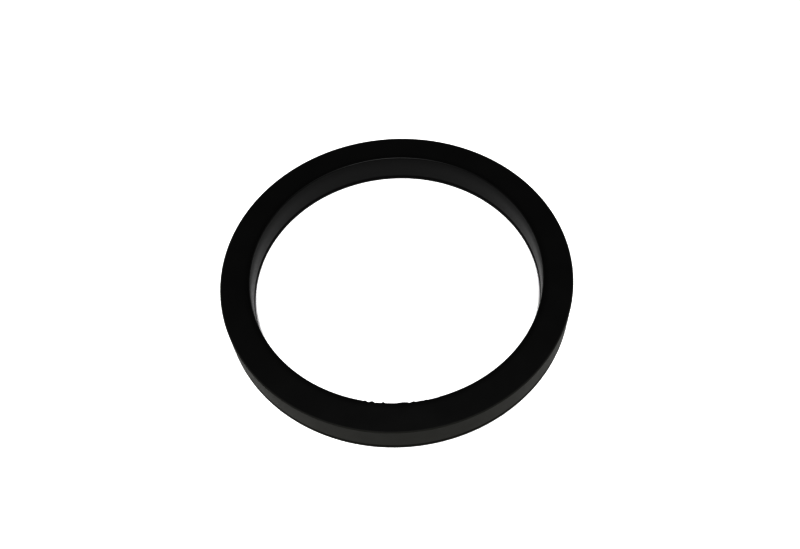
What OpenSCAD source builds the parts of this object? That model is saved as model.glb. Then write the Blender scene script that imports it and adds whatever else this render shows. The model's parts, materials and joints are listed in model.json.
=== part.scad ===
// Seal ring: a moulded rubber ring of rectangular section, with flat sealing faces
// above and below, a plain bore and a plain outer wall. The mould closes on the upper
// face, so the upper edges are crisp, and the floor of its cavity rounds the lower ones.
// Millimetres. The ring lies on its lower face at z = 0, with the bore along +Z.

/* [Ring] */
// Diameter of the bore, which grips the spigot or shaft
bore_d = 60; // [20:0.5:150]
// Radial width of the section, from the bore to the outer wall
section_w = 6; // [2:0.1:15]
// Height of the section, between the two sealing faces
section_h = 7; // [2:0.1:20]

/* [Edges] */
// Radius of the two upper edges, where the mould's halves meet
upper_edge_r = 0.25; // [0.05:0.05:0.9]
// Radius of the two lower edges, from the corners of the mould's cavity
lower_edge_r = 0.6; // [0.05:0.05:0.9]

/* [Hidden] */
bore_r = bore_d / 2;
rubber_black = "#161717";
$fn = 180;

// Two like corners of the section, as true circles at one height
module corner_pair(width, radius, y) {
    for (x = [radius, width - radius])
        translate([x, y])
            circle(r = radius);
}

// Section of the ring from its lower inner corner, with arcs that run smoothly into its sides
module ring_section(width, height, upper_r, lower_r) {
    straight_h = height - upper_r - lower_r;
    translate([0, lower_r])
        square([width, straight_h]);
    translate([lower_r, 0])
        square([width - 2 * lower_r, height - upper_r]);
    translate([upper_r, lower_r])
        square([width - 2 * upper_r, height - lower_r]);
    corner_pair(width, lower_r, lower_r);
    corner_pair(width, upper_r, height - upper_r);
}

// The whole ring is one piece: its section, turned once round the bore's axis
module seal_ring() {
    color(rubber_black)
        rotate_extrude()
            translate([bore_r, 0])
                ring_section(section_w, section_h, upper_edge_r, lower_edge_r);
}

seal_ring();
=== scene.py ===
# %% [markdown]
# # A moulded rubber seal ring
#
# This lesson dresses one part: a plain black seal ring of rectangular section that lies flat on a
# white table. The engineering model gives its sizes, and nothing here changes them. What is added is
# what the eye reads as rubber: a smooth swept body with true edges, a stretch of torn mould flash on
# the rim of the bore, a satin skin whose gloss tells which part of the mould made it, and the light
# of a product picture.

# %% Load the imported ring
import json
import math
import bmesh
import bpy
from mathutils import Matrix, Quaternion, Vector

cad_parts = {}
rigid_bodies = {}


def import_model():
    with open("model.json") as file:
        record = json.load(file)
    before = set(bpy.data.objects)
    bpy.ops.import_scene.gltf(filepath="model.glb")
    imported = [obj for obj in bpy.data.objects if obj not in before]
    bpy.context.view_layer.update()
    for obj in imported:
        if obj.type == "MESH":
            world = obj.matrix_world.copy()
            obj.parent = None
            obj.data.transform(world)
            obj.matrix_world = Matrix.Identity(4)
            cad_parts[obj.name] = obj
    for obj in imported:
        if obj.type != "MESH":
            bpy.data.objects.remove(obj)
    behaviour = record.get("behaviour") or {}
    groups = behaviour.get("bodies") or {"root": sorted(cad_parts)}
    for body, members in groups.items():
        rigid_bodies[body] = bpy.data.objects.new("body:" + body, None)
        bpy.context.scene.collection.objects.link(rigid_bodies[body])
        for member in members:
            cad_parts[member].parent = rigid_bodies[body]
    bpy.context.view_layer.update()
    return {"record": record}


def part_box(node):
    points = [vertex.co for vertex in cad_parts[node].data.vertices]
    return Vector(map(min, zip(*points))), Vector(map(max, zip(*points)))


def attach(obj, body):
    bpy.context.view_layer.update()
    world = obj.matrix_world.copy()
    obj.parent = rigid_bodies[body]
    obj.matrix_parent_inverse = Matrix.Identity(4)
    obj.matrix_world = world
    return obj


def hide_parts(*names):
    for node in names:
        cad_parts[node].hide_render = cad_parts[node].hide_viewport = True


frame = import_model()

# %% [markdown]
# ## Sizes
#
# Nothing is measured twice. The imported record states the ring's two fits, the bore and the outer
# wall, and where on the height each runs straight. What is left above and below that straight run is
# rounded, so the radii of the upper and lower edges follow as well, and a ring of another size would
# come out right without a change to this file.

# %% Read the ring's sizes
MM = 0.001

fits = {mount["name"]: mount for mount in frame["record"]["mounts"]}
bore_r = fits["bore"]["dims"]["r_mm"] * MM
outer_r = fits["outer_wall"]["dims"]["r_mm"] * MM
low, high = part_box("seal_ring")
ring_h = high.z - low.z
straight_middle = fits["bore"]["pos_m"][2]
straight_half = fits["bore"]["dims"]["length_mm"] * MM / 2
lower_edge_r = straight_middle - straight_half - low.z
upper_edge_r = high.z - straight_middle - straight_half
print(f"bore {2 * bore_r / MM:.1f} mm, outside {2 * outer_r / MM:.1f} mm, height {ring_h / MM:.1f} mm")
print(f"edge radius {upper_edge_r / MM:.2f} mm above, {lower_edge_r / MM:.2f} mm below")

# %% [markdown]
# ## Camera
#
# The picture was taken by hand from close by, so the far side of the ring looks clearly smaller than
# the near side. A longer lens further off would flatten that. The values below are those at which the
# ring's four circles, upper and lower, inner and outer, all fall on their outlines in the picture. The
# camera aims a little behind the ring's centre and leans by a few degrees, as a hand does.

# %% Place the camera
CAMERA_DISTANCE = 181.0 * MM
CAMERA_ELEVATION = math.radians(56.9)
CAMERA_AIM = Vector((0.85, 3.23, 0.0)) * MM
CAMERA_LEAN = math.radians(-4.22)
CAMERA_LENS = 38.48
CAMERA_SENSOR = 36.0
CAMERA_NEAR = 10.0 * MM

camera_data = bpy.data.cameras.new("picture_camera")
camera_data.lens = CAMERA_LENS
camera_data.sensor_width = CAMERA_SENSOR
camera_data.sensor_fit = "HORIZONTAL"
camera_data.clip_start = CAMERA_NEAR
camera = bpy.data.objects.new("picture_camera", camera_data)
bpy.context.collection.objects.link(camera)
camera_way = Vector((0.0, -math.cos(CAMERA_ELEVATION), math.sin(CAMERA_ELEVATION)))
camera.location = CAMERA_DISTANCE * camera_way
camera.rotation_mode = "QUATERNION"
straight_look = (CAMERA_AIM - camera.location).to_track_quat("-Z", "Y")
camera.rotation_quaternion = straight_look @ Quaternion((0, 0, 1), CAMERA_LEAN)
bpy.context.scene.camera = camera
print("camera at", tuple(round(c / MM, 1) for c in camera.location), "mm")

# %% [markdown]
# ## One helper for every node
#
# The rubber, the room and the ring's shape are all node trees. Typing such a tree out line by line
# hides its idea, so one small function adds a node of any kind, sets its options and fills its
# sockets. A plain value is typed into the socket, while a node or another node's socket is linked to
# it. The rubber's tree is started with it, from the place on the ring in Object coordinates, which
# stay with the ring however it is turned.

# %% Helper: add a node, and start the rubber
def add_node(tree, kind, inputs=None, **options):
    node = tree.nodes.new(kind)
    for name, value in options.items():
        setattr(node, name, value)
    for socket, value in (inputs or {}).items():
        if isinstance(value, bpy.types.Node):
            value = value.outputs[0]
        if isinstance(value, bpy.types.NodeSocket):
            tree.links.new(value, node.inputs[socket])
        else:
            node.inputs[socket].default_value = value
    return node


rubber = bpy.data.materials.new("moulded_black_nitrile")
rubber.use_nodes = True
skin = rubber.node_tree
skin.nodes.clear()
place = add_node(skin, "ShaderNodeTexCoord").outputs["Object"]
print("rubber's tree reads", place.name, "coordinates, in metres")

# %% [markdown]
# ## Rubber: where on the ring
#
# Both the colour and the gloss of the rubber depend on which face of the ring is seen. One way is to
# give every face a material of its own, but then the skin would change with a hard line where two of
# them meet. Here one material asks where it is: how far out from the axis, how high above the table,
# and whether it is on the upper outer edge that gets a painted sheen, a mark which the mesh keeps as
# an attribute. Across an edge, the change from face to wall is complete by the last quarter of the
# edge's radius.

# %% Rubber: where on the ring
EDGE_END = 0.25

level_place = add_node(skin, "ShaderNodeVectorMath", {
    0: place, 1: (1.0, 1.0, 0.0)}, operation="MULTIPLY")
radius = add_node(skin, "ShaderNodeVectorMath", {0: level_place}, operation="LENGTH").outputs["Value"]
height = add_node(skin, "ShaderNodeSeparateXYZ", {"Vector": place}).outputs["Z"]
# the upper outer edge: it gets a painted sheen in the colour and a matt gloss below
rubbed = add_node(skin, "ShaderNodeAttribute", attribute_name="rubbed").outputs["Fac"]
on_wall = add_node(skin, "ShaderNodeMapRange", {
    "Value": radius, "From Min": outer_r - upper_edge_r, "From Max": outer_r - EDGE_END * upper_edge_r})
print("outer wall counted from radius", round((outer_r - EDGE_END * upper_edge_r) / MM, 3), "mm")

# %% [markdown]
# ## Rubber: its colour
#
# The ring is black nitrile rubber, pressed and cured in a steel mould. Carbon black swallows nearly
# all the light that goes in, so the colour is close to none. It still isn't one flat black: the skin
# is a touch greyer in wide, faint clouds where the rubber has faded. Two more tones are painted light.
# The outer wall is painted paler and a trace olive, a painted warm reflection of the lit table, and
# the upper outer edge is painted paler still, a painted sheen for the light that the edge catches
# between the dark face and the lit wall. Picture colours are written as sRGB hex, the way a colour
# picker shows them, and turned to linear light by one function. A Mix node has sockets for several
# kinds of data, and those for colours are its inputs 6 and 7 and its output 2.

# %% Rubber: colour
RUBBER_BLACK = "#0e0e0e"
RUBBER_FADED = "#141413"
# painted warm reflection: a paler olive tone for the outer wall, standing in for the lit table seen in
# it
WALL_PAINTED_WARMTH = "#26261d"
# painted sheen: a paler colour for the upper outer edge, for the light that the edge catches
EDGE_PAINTED_SHEEN = "#383835"
CLOUD_SIZE = 7.0 * MM
CLOUD_DETAIL = 3.0


def linear(hex_colour):
    channels = [int(hex_colour[i:i + 2], 16) / 255 for i in (1, 3, 5)]
    return [c / 12.92 if c <= 0.04045 else ((c + 0.055) / 1.055) ** 2.4 for c in channels] + [1.0]


clouds = add_node(skin, "ShaderNodeTexNoise", {
    "Vector": place, "Scale": 1 / CLOUD_SIZE, "Detail": CLOUD_DETAIL})
body_colour = add_node(skin, "ShaderNodeMix", {
    "Factor": clouds, 6: linear(RUBBER_BLACK), 7: linear(RUBBER_FADED)}, data_type="RGBA").outputs[2]
# paint the warm reflection of the table onto the outer wall
warm_painted_colour = add_node(skin, "ShaderNodeMix", {
    "Factor": on_wall, 6: body_colour, 7: linear(WALL_PAINTED_WARMTH)}, data_type="RGBA").outputs[2]
# paint the sheen onto the upper outer edge
colour = add_node(skin, "ShaderNodeMix", {
    "Factor": rubbed, 6: warm_painted_colour, 7: linear(EDGE_PAINTED_SHEEN)}, data_type="RGBA").outputs[2]
for name, shade in (("black", RUBBER_BLACK), ("bloom", WALL_PAINTED_WARMTH), ("rubbed edge", EDGE_PAINTED_SHEEN)):
    print(name, "reflects", round(linear(shade)[0], 4), "of the light")

# %% [markdown]
# ## Rubber: the gloss that the mould gives
#
# With so little colour, the gloss is what is seen. A face looked at from above is almost black, and a
# wall at a slant turns grey with the light of the table. The gloss comes from the steel. The core that
# makes the bore is polished, so that the ring slips off it, and less so near its end. The plate that
# makes the upper face is smoothest close round the core, and the outer wall of the cavity is left as
# turned. One number per place would show as hard borders, so each runs into the next.

# %% Rubber: gloss of bore, face and wall
BORE_SATIN = 0.33
MOUTH_SATIN = 0.54
RIM_SATIN = 0.26
FACE_SATIN = 0.36
WALL_SATIN = 0.48
MOUTH_DEPTH = 3.5 * MM
RIM_REACH = 1.5 * MM

in_bore = add_node(skin, "ShaderNodeMapRange", {
    "Value": height, "From Min": ring_h - MOUTH_DEPTH, "From Max": ring_h - upper_edge_r,
    "To Min": BORE_SATIN, "To Max": MOUTH_SATIN}, interpolation_type="SMOOTHSTEP")
on_face = add_node(skin, "ShaderNodeMapRange", {
    "Value": radius, "From Min": bore_r, "From Max": bore_r + RIM_REACH,
    "To Min": RIM_SATIN, "To Max": FACE_SATIN}, interpolation_type="SMOOTHSTEP")
bore_to_face = add_node(skin, "ShaderNodeMapRange", {
    "Value": radius, "From Min": bore_r + EDGE_END * upper_edge_r, "From Max": bore_r + upper_edge_r,
    "To Min": in_bore, "To Max": on_face})
mould_satin = add_node(skin, "ShaderNodeMapRange", {
    "Value": on_wall, "To Min": bore_to_face, "To Max": WALL_SATIN})
print("roughness: bore", BORE_SATIN, "face", FACE_SATIN, "outer wall", WALL_SATIN)

# %% [markdown]
# ## Rubber: dull places
#
# The clouds that grey the rubber also make its gloss a little uneven. Two places are plainly dull: the
# rubbed outer edge, and the foot of each wall, because no polishing tool reaches the corner at the
# floor of the cavity. On the white table that dull foot is seen as a fine dark line. Between its two
# feet the ring is as smooth below as above, so being low isn't enough to be dull: a point has to be
# near a wall as well.

# %% Rubber: uneven and dull gloss
SATIN_DRIFT = 0.02
CLOUD_LOW = 0.3
CLOUD_HIGH = 0.7
EDGE_MATT = 0.8
EDGE_MATT_FROM = 0.4
FOOT_MATT = 0.9
FOOT_TOP = 1.5 * MM
FOOT_FULL = 0.9 * MM

drift = add_node(skin, "ShaderNodeMapRange", {
    "Value": clouds, "From Min": CLOUD_LOW, "From Max": CLOUD_HIGH,
    "To Min": -SATIN_DRIFT, "To Max": SATIN_DRIFT})
satin = add_node(skin, "ShaderNodeMath", {0: mould_satin, 1: drift}, operation="ADD")
edge_gloss = add_node(skin, "ShaderNodeMapRange", {
    "Value": rubbed, "From Max": EDGE_MATT_FROM, "To Min": satin, "To Max": EDGE_MATT})
is_low = add_node(skin, "ShaderNodeMapRange", {
    "Value": height, "From Min": FOOT_TOP, "From Max": FOOT_FULL}, interpolation_type="SMOOTHSTEP")
from_middle = add_node(skin, "ShaderNodeMath", {
    0: radius, 1: (bore_r + outer_r) / 2}, operation="SUBTRACT")
from_middle_size = add_node(skin, "ShaderNodeMath", {0: from_middle}, operation="ABSOLUTE")
half_width = (outer_r - bore_r) / 2
is_near_wall = add_node(skin, "ShaderNodeMapRange", {
    "Value": from_middle_size,
    "From Min": half_width - 2 * lower_edge_r, "From Max": half_width - lower_edge_r})
at_foot = add_node(skin, "ShaderNodeMath", {0: is_low, 1: is_near_wall}, operation="MULTIPLY")
gloss = add_node(skin, "ShaderNodeMapRange", {
    "Value": at_foot, "To Min": edge_gloss, "To Max": FOOT_MATT})
print("roughness: rubbed edge", EDGE_MATT, "foot", FOOT_MATT, "drift", SATIN_DRIFT)

# %% [markdown]
# ## Rubber: its grain
#
# Steel is never perfectly smooth, and it leaves a grain some hundredths of a millimetre wide. A pixel
# of this picture is a fifth of a millimetre, so the grain is drawn at twice that, as coarse as it must
# be to show at all, and only microns deep. It breaks up the reflections a little, and that keeps the
# skin from looking like lacquer.

# %% Rubber: grain and shader
GRAIN_SIZE = 0.4 * MM
GRAIN_DETAIL = 2.0
GRAIN_DEPTH = 0.003 * MM
RUBBER_IOR = 1.5

grain = add_node(skin, "ShaderNodeTexNoise", {
    "Vector": place, "Scale": 1 / GRAIN_SIZE, "Detail": GRAIN_DETAIL})
bump = add_node(skin, "ShaderNodeBump", {"Height": grain, "Distance": GRAIN_DEPTH})
surface = add_node(skin, "ShaderNodeBsdfPrincipled", {
    "Base Color": colour, "Roughness": gloss, "IOR": RUBBER_IOR, "Normal": bump})
add_node(skin, "ShaderNodeOutputMaterial", {"Surface": surface})
print("rubber:", len(skin.nodes), "nodes")

# %% [markdown]
# ## Shape: a sweep with named sizes
#
# A moulded ring is a section carried once round an axis. A Screw modifier could do it, and so could a
# bevelled curve, but a Geometry Nodes tree keeps the rule in sight: every size is a named input, and
# the tree can go on to tear the rim and to hand over true normals. This step states the inputs. The
# tear is measured along the rim, from the point at the front.

# %% Sweep: named inputs
TEAR_MIDDLE = -1.0 * MM
TEAR_HALF = 7.6 * MM
TEAR_FADE = 0.8 * MM
TEAR_BACK = 0.055 * MM
TEAR_DEPTH = 1.0 * MM

sweep = bpy.data.node_groups.new("ring_sweep", "GeometryNodeTree")
sweep_inputs = {
    "Bore Radius": ("NodeSocketFloat", bore_r),
    "Outer Radius": ("NodeSocketFloat", outer_r),
    "Height": ("NodeSocketFloat", ring_h),
    "Upper Edge Radius": ("NodeSocketFloat", upper_edge_r),
    "Lower Edge Radius": ("NodeSocketFloat", lower_edge_r),
    "Edge Steps": ("NodeSocketInt", 6),
    "Side Cuts": ("NodeSocketInt", 5),
    "Ring Steps": ("NodeSocketInt", 1440),
    "Tear Middle": ("NodeSocketFloat", TEAR_MIDDLE),
    "Tear Half Length": ("NodeSocketFloat", TEAR_HALF),
    "Tear Fade": ("NodeSocketFloat", TEAR_FADE),
    "Tear Set Back": ("NodeSocketFloat", TEAR_BACK),
    "Tear Depth": ("NodeSocketFloat", TEAR_DEPTH),
    "Rubber": ("NodeSocketMaterial", rubber),
}
for name, (kind, _) in sweep_inputs.items():
    sweep.interface.new_socket(name, in_out="INPUT", socket_type=kind)
sweep.interface.new_socket("Ring", in_out="OUTPUT", socket_type="NodeSocketGeometry")
size = add_node(sweep, "NodeGroupInput").outputs
print("sweep inputs:", ", ".join(sweep_inputs))

# %% [markdown]
# ## Shape: the section
#
# The section is a rectangle with crisp corners above, where the mould closes, and rounder ones below,
# from the floor of its cavity. Fillet Curve rounds a corner by true arcs, but it would round the extra
# points along the sides too, so it gets a radius of zero there. The extra points keep the long sides
# from becoming thin slivers of faces. Once swept, the side of the rectangle with positive y is the
# lower one.

# %% Sweep: the rounded section
width = add_node(sweep, "ShaderNodeMath", {
    0: size["Outer Radius"], 1: size["Bore Radius"]}, operation="SUBTRACT")
section = add_node(sweep, "GeometryNodeCurvePrimitiveQuadrilateral", {
    "Width": width, "Height": size["Height"]}, mode="RECTANGLE")
cut_section = add_node(sweep, "GeometryNodeSubdivideCurve", {
    "Curve": section, "Cuts": size["Side Cuts"]})
points_per_side = add_node(sweep, "ShaderNodeMath", {0: size["Side Cuts"], 1: 1.0}, operation="ADD")
step_on_side = add_node(sweep, "ShaderNodeMath", {
    0: add_node(sweep, "GeometryNodeInputIndex"), 1: points_per_side}, operation="MODULO")
is_corner = add_node(sweep, "ShaderNodeMath", {0: step_on_side, 1: 0.5}, operation="LESS_THAN")
section_y = add_node(sweep, "ShaderNodeSeparateXYZ", {
    "Vector": add_node(sweep, "GeometryNodeInputPosition")}).outputs["Y"]
is_lower = add_node(sweep, "FunctionNodeCompare", {0: section_y, 1: 0.0}, operation="GREATER_THAN")
side_r = add_node(sweep, "GeometryNodeSwitch", {
    "Switch": is_lower, "False": size["Upper Edge Radius"], "True": size["Lower Edge Radius"]},
    input_type="FLOAT")
corner_r = add_node(sweep, "ShaderNodeMath", {0: is_corner, 1: side_r}, operation="MULTIPLY")
rounded_section = add_node(sweep, "GeometryNodeFilletCurve", {
    "Curve": cut_section, "Count": size["Edge Steps"], "Radius": corner_r}, mode="POLY")
print("section:", len(sweep.nodes), "nodes so far")

# %% [markdown]
# ## Shape: once round the bore
#
# The path is a circle through the middle of the section. Curve to Mesh carries the section along it,
# and Z Up keeps the section from twisting on the way. The path lies at height zero, so the body is
# then lifted by half its height, to stand on the table.

# %% Sweep: once round
both_r = add_node(sweep, "ShaderNodeMath", {
    0: size["Bore Radius"], 1: size["Outer Radius"]}, operation="ADD")
middle_r = add_node(sweep, "ShaderNodeMath", {0: both_r, 1: 0.5}, operation="MULTIPLY")
path = add_node(sweep, "GeometryNodeCurvePrimitiveCircle", {
    "Resolution": size["Ring Steps"], "Radius": middle_r}, mode="RADIUS")
level_path = add_node(sweep, "GeometryNodeSetCurveNormal", {"Curve": path}, mode="Z_UP")
body = add_node(sweep, "GeometryNodeCurveToMesh", {
    "Curve": level_path, "Profile Curve": rounded_section})
half_height = add_node(sweep, "ShaderNodeMath", {0: size["Height"], 1: 0.5}, operation="MULTIPLY")
lift = add_node(sweep, "ShaderNodeCombineXYZ", {"Z": half_height})
lifted_body = add_node(sweep, "GeometryNodeTransform", {"Geometry": body, "Translation": lift})
print("body:", len(sweep.nodes), "nodes so far")

# %% [markdown]
# ## Shape: which way is out
#
# Shrink the section by its edge radius and a core is left. The line from the nearest point of that
# core to the skin leaves the skin squarely, on the flats and all the way round an edge. So it gives
# the true normal at every point, which smooth shading alone would only average from neighbouring
# faces. The first cell finds where a point is and which edge radius holds there, and the second one
# draws the line.

# %% Sweep: where a point is
spot = add_node(sweep, "ShaderNodeSeparateXYZ", {
    "Vector": add_node(sweep, "GeometryNodeInputPosition")}).outputs
level_spot = add_node(sweep, "ShaderNodeCombineXYZ", {"X": spot["X"], "Y": spot["Y"]})
spot_r = add_node(sweep, "ShaderNodeVectorMath", {0: level_spot}, operation="LENGTH").outputs["Value"]
outward = add_node(sweep, "ShaderNodeVectorMath", {0: level_spot}, operation="NORMALIZE")
is_upper = add_node(sweep, "ShaderNodeMath", {0: spot["Z"], 1: half_height}, operation="GREATER_THAN")
edge_r = add_node(sweep, "ShaderNodeMapRange", {
    "Value": is_upper, "To Min": size["Lower Edge Radius"], "To Max": size["Upper Edge Radius"]})
print("place of a point:", len(sweep.nodes), "nodes so far")

# %% Sweep: out of the core
core_min_r = add_node(sweep, "ShaderNodeMath", {0: size["Bore Radius"], 1: edge_r}, operation="ADD")
core_max_r = add_node(sweep, "ShaderNodeMath", {
    0: size["Outer Radius"], 1: edge_r}, operation="SUBTRACT")
core_max_z = add_node(sweep, "ShaderNodeMath", {0: size["Height"], 1: edge_r}, operation="SUBTRACT")
core_r = add_node(sweep, "ShaderNodeClamp", {"Value": spot_r, "Min": core_min_r, "Max": core_max_r})
core_z = add_node(sweep, "ShaderNodeClamp", {"Value": spot["Z"], "Min": edge_r, "Max": core_max_z})
out_r = add_node(sweep, "ShaderNodeMath", {0: spot_r, 1: core_r}, operation="SUBTRACT").outputs[0]
out_z = add_node(sweep, "ShaderNodeMath", {0: spot["Z"], 1: core_z}, operation="SUBTRACT").outputs[0]
out_level = add_node(sweep, "ShaderNodeVectorMath", {0: outward, "Scale": out_r}, operation="SCALE")
out_upright = add_node(sweep, "ShaderNodeCombineXYZ", {"Z": out_z})
out = add_node(sweep, "ShaderNodeVectorMath", {0: out_level, 1: out_upright}, operation="ADD")
true_normal = add_node(sweep, "ShaderNodeVectorMath", {0: out}, operation="NORMALIZE")
print("way out:", len(sweep.nodes), "nodes so far")

# %% [markdown]
# ## Shape: marking the edge for its painted sheen
#
# The rubber asked for a mark on the upper outer edge, where it paints a paler sheen and makes the
# gloss matt. Out of the core, an edge goes both sideways and up or down, and a flat only one of the
# two. Twice their product, over the radius squared, is nought on a flat and one halfway round the outer
# edge, while on the inner edge, which goes the other way, it is below nought and is cut off. Kept on
# the mesh as an attribute, it travels with the surface. The true normals are captured here too, before
# the next step moves any point.

# %% Sweep: mark the edge for the painted sheen
both_ways = add_node(sweep, "ShaderNodeMath", {0: out_r, 1: out_z}, operation="MULTIPLY")
upper_ways = add_node(sweep, "ShaderNodeMath", {0: both_ways, 1: is_upper}, operation="MULTIPLY")
outer_ways = add_node(sweep, "ShaderNodeMath", {0: upper_ways, 1: 0.0}, operation="MAXIMUM")
radius_squared = add_node(sweep, "ShaderNodeMath", {0: edge_r, 1: edge_r}, operation="MULTIPLY")
half_share = add_node(sweep, "ShaderNodeMath", {0: outer_ways, 1: radius_squared}, operation="DIVIDE")
sheen_edge_share = add_node(sweep, "ShaderNodeMath", {0: half_share, 1: 2.0}, operation="MULTIPLY")
# the share of the edge that the rubber paints a sheen on
marked_body = add_node(sweep, "GeometryNodeStoreNamedAttribute", {
    "Geometry": lifted_body, "Name": "rubbed", "Value": sheen_edge_share}, data_type="FLOAT", domain="POINT")
print("edge mark:", len(sweep.nodes), "nodes so far")

# %% Sweep: capture the true normals
normal_body = add_node(sweep, "GeometryNodeCaptureAttribute", {"Geometry": marked_body}, domain="POINT")
normal_body.capture_items.new("VECTOR", "True Normal")
sweep.links.new(true_normal.outputs["Vector"], normal_body.inputs["True Normal"])
print("captured:", ", ".join(item.name for item in normal_body.capture_items))

# %% [markdown]
# ## Shape: torn flash
#
# Where the halves of a mould meet, a film of rubber squeezes out. It is torn off by hand, and on the
# near side of the bore the tear shows: the rim is set back by half a tenth of a millimetre, with small
# nibs left standing in it. A noise texture would spread such marks all round, so each one is listed:
# how far along the rim from the front, how wide to each side, and how far it stands into the
# bore, all in millimetres. A negative reach is a chip. Only the rim moves: the move fades out down the
# bore, and on the face it ends half an edge radius past the edge.

# %% Sweep: nibs along the rim
FLASH_NIBS = (
    (-7.7, 0.4, 0.14),
    (-7.1, 0.4, -0.06),
    (-6.4, 0.55, 0.19),
    (-5.8, 0.35, -0.06),
    (-4.3, 0.4, 0.21),
    (-0.6, 1.5, 0.13),
    (0.55, 0.35, -0.08),
    (1.3, 0.5, 0.13),
    (2.75, 0.5, 0.05),
    (3.65, 0.4, 0.07),
)

front = add_node(sweep, "ShaderNodeMath", {0: spot["Y"], 1: -1.0}, operation="MULTIPLY")
turn = add_node(sweep, "ShaderNodeMath", {0: spot["X"], 1: front}, operation="ARCTAN2")
along = add_node(sweep, "ShaderNodeMath", {0: turn, 1: size["Bore Radius"]}, operation="MULTIPLY")
from_tear = add_node(sweep, "ShaderNodeMath", {0: along, 1: size["Tear Middle"]}, operation="SUBTRACT")
from_tear_size = add_node(sweep, "ShaderNodeMath", {0: from_tear}, operation="ABSOLUTE")
fade_start = add_node(sweep, "ShaderNodeMath", {
    0: size["Tear Half Length"], 1: size["Tear Fade"]}, operation="SUBTRACT")
rim_move = add_node(sweep, "ShaderNodeMapRange", {
    "Value": from_tear_size, "From Min": fade_start, "From Max": size["Tear Half Length"],
    "To Min": size["Tear Set Back"], "To Max": 0.0}, interpolation_type="SMOOTHSTEP")
for arc, nib_half, reach in FLASH_NIBS:
    from_nib = add_node(sweep, "ShaderNodeMath", {0: along, 1: arc * MM}, operation="SUBTRACT")
    from_nib_size = add_node(sweep, "ShaderNodeMath", {0: from_nib}, operation="ABSOLUTE")
    nib = add_node(sweep, "ShaderNodeMapRange", {
        "Value": from_nib_size, "From Max": nib_half * MM,
        "To Min": -reach * MM, "To Max": 0.0}, interpolation_type="SMOOTHSTEP")
    rim_move = add_node(sweep, "ShaderNodeMath", {0: rim_move, 1: nib}, operation="ADD")
print("flash:", len(FLASH_NIBS), "nibs and chips,", len(sweep.nodes), "nodes so far")

# %% Sweep: tear the rim
TEAR_EDGES = 1.5

tear_floor = add_node(sweep, "ShaderNodeMath", {
    0: size["Height"], 1: size["Tear Depth"]}, operation="SUBTRACT")
is_high = add_node(sweep, "ShaderNodeMapRange", {
    "Value": spot["Z"], "From Min": tear_floor, "From Max": core_max_z})
rim_width = add_node(sweep, "ShaderNodeMath", {0: edge_r, 1: TEAR_EDGES}, operation="MULTIPLY")
rim_r = add_node(sweep, "ShaderNodeMath", {0: size["Bore Radius"], 1: rim_width}, operation="ADD")
is_at_bore = add_node(sweep, "ShaderNodeMath", {0: spot_r, 1: rim_r}, operation="LESS_THAN")
on_rim = add_node(sweep, "ShaderNodeMath", {0: is_high, 1: is_at_bore}, operation="MULTIPLY")
rim_pull = add_node(sweep, "ShaderNodeMath", {0: on_rim, 1: rim_move}, operation="MULTIPLY").outputs[0]
tear = add_node(sweep, "ShaderNodeVectorMath", {0: outward, "Scale": rim_pull}, operation="SCALE")
torn_body = add_node(sweep, "GeometryNodeSetPosition", {"Geometry": normal_body, "Offset": tear})
print("torn rim:", len(sweep.nodes), "nodes so far")

# %% [markdown]
# ## Shape: normals and skin
#
# The captured normals go onto the mesh as custom normals, so that flats stay flat to the light right up
# to their edges, also beside a nib. The tree ends by making everything real geometry and giving it the
# rubber.

# %% Sweep: normals and skin
smooth_body = add_node(sweep, "GeometryNodeSetShadeSmooth", {
    "Geometry": torn_body, "Shade Smooth": True})
true_body = add_node(sweep, "GeometryNodeSetMeshNormal", {
    "Mesh": smooth_body, "Custom Normal": normal_body.outputs["True Normal"]}, mode="FREE")
real_body = add_node(sweep, "GeometryNodeRealizeInstances", {"Geometry": true_body})
skinned_body = add_node(sweep, "GeometryNodeSetMaterial", {
    "Geometry": real_body, "Material": size["Rubber"]})
add_node(sweep, "NodeGroupOutput", {"Ring": skinned_body})
print("sweep:", len(sweep.nodes), "nodes")

# %% [markdown]
# ## Run the sweep
#
# A modifier runs the tree on an empty mesh, and the result is copied into a plain mesh that needs no
# modifier. Inputs of such a modifier are set by each socket's identifier, not by its name, and before
# the first evaluation. A ring has no ends, so every edge of the mesh should lie between exactly two
# faces, and the volume should be the model's own.

# %% Run the sweep and keep a plain mesh
former = bpy.data.objects.new("ring_former", bpy.data.meshes.new("ring_former"))
bpy.context.collection.objects.link(former)
modifier = former.modifiers.new("sweep", "NODES")
modifier.node_group = sweep
for item in sweep.interface.items_tree:
    if item.in_out == "INPUT":
        modifier[item.identifier] = sweep_inputs[item.name][1]
depsgraph = bpy.context.evaluated_depsgraph_get()
ring_mesh = bpy.data.meshes.new_from_object(former.evaluated_get(depsgraph))
bpy.data.objects.remove(former)
ring = bpy.data.objects.new("seal_ring_rubber", ring_mesh)
bpy.context.collection.objects.link(ring)
print("ring:", 2 * len(ring_mesh.polygons), "triangles, custom normals:", ring_mesh.has_custom_normals)

# %% Check the mesh
ring_check = bmesh.new()
ring_check.from_mesh(ring_mesh)
open_edges = sum(not mesh_edge.is_manifold for mesh_edge in ring_check.edges)
ring_volume = ring_check.calc_volume(signed=True) / MM ** 3
ring_check.free()
print(f"mesh: {open_edges} open edges, volume {ring_volume:.1f} mm3")

# %% [markdown]
# ## Table
#
# The ring lies on a plain white board, painted matt, which gives the eye an even white with nothing
# mirrored in it. It is far larger than the picture, so that its edge is never seen and the walls of
# the ring mirror nothing but board. It is part of the stage, not of the object.

# %% Stage: the table
TABLE_HALF = 3.0
TABLE_WHITE = "#f4f4f4"
BOARD_MATT = 0.9
BOARD_SHINE = 0.1

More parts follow.
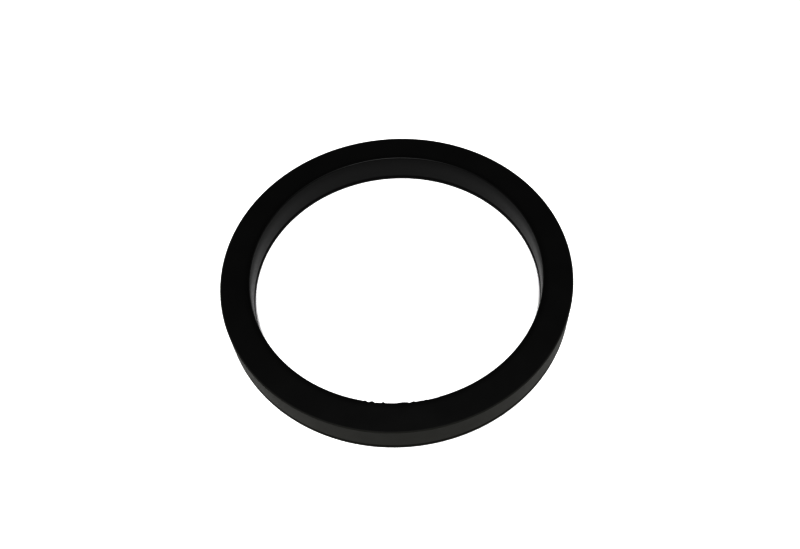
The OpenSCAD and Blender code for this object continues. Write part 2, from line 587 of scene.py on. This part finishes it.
table_mesh = bpy.data.meshes.new("table_top")
table_corners = [(x * TABLE_HALF, y * TABLE_HALF, 0.0) for x, y in ((-1, -1), (1, -1), (1, 1), (-1, 1))]
table_mesh.from_pydata(table_corners, [], [(0, 1, 2, 3)])
table = bpy.data.objects.new("table_top", table_mesh)
bpy.context.collection.objects.link(table)
board = bpy.data.materials.new("matt_white_board")
board.use_nodes = True
board_skin = board.node_tree
board_skin.nodes.clear()
board_surface = add_node(board_skin, "ShaderNodeBsdfPrincipled", {
    "Base Color": linear(TABLE_WHITE), "Roughness": BOARD_MATT, "Specular IOR Level": BOARD_SHINE})
add_node(board_skin, "ShaderNodeOutputMaterial", {"Surface": board_surface})
table_mesh.materials.append(board)
print("table:", 2 * TABLE_HALF, "m square")

# %% [markdown]
# ## Light
#
# Two lights are enough. The walls of the room are white and as bright as the board, so that board and
# walls run into each other in every view. Overhead the room is dim, which keeps the upper face dark,
# though short of pure black. A soft box hangs above and a little in front, so that neither foot of the
# ring that the camera sees stands in shadow. An area lamp there would leave the far end of the board
# grey, so a sun lamp stands in for it, as wide as the box looks from the ring. A wider one would show
# as a pale band along every edge.

# %% Light: the room
WALL_LIGHT = 1.1
CEILING_LIGHT = 0.17
WALL_TOP = math.radians(10)
CEILING_START = math.radians(30)
ROOM_WHITE = "#ffffff"

world = bpy.data.worlds.new("pale_room")
bpy.context.scene.world = world
world.use_nodes = True
room = world.node_tree
room.nodes.clear()
room_way = add_node(room, "ShaderNodeTexCoord").outputs["Generated"]
rise = add_node(room, "ShaderNodeSeparateXYZ", {"Vector": room_way}).outputs["Z"]
room_light = add_node(room, "ShaderNodeMapRange", {
    "Value": rise, "From Min": math.sin(WALL_TOP), "From Max": math.sin(CEILING_START),
    "To Min": WALL_LIGHT, "To Max": CEILING_LIGHT}, interpolation_type="SMOOTHSTEP")
glow = add_node(room, "ShaderNodeBackground", {"Color": linear(ROOM_WHITE), "Strength": room_light})
add_node(room, "ShaderNodeOutputWorld", {"Surface": glow})
print("room light: walls", WALL_LIGHT, "ceiling", CEILING_LIGHT)

# %% Light: the soft box
BOX_PLACE = Vector((0.0, -0.20, 1.5))
BOX_SIDE = 0.2
BOX_STRENGTH = 3.85

box_data = bpy.data.lights.new("soft_box", "SUN")
box_data.angle = BOX_SIDE / BOX_PLACE.length
box_data.energy = BOX_STRENGTH
box = bpy.data.objects.new("soft_box", box_data)
bpy.context.collection.objects.link(box)
box.location = BOX_PLACE
box.rotation_mode = "QUATERNION"
box.rotation_quaternion = (-BOX_PLACE).to_track_quat("-Z", "Y")
print(f"soft box: {BOX_STRENGTH} W/m2, {math.degrees(box_data.angle):.1f} degrees wide")

# %% [markdown]
# ## Film
#
# The picture is a contrasty one: the board is blown out to pure white and the blacks are pressed down.
# The light above already lifts the board past white, and a film gamma below one presses the dark
# tones.

# %% Film
FILM_GAMMA = 0.5

film = bpy.context.scene.view_settings
film.view_transform = "Standard"
film.gamma = FILM_GAMMA
print("film:", film.view_transform, "with gamma", round(film.gamma, 2))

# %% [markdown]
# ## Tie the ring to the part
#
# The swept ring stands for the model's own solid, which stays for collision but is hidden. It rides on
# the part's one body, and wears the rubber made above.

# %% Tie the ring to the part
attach(ring, "root")
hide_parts("seal_ring")
print(ring.name, "stands for seal_ring")
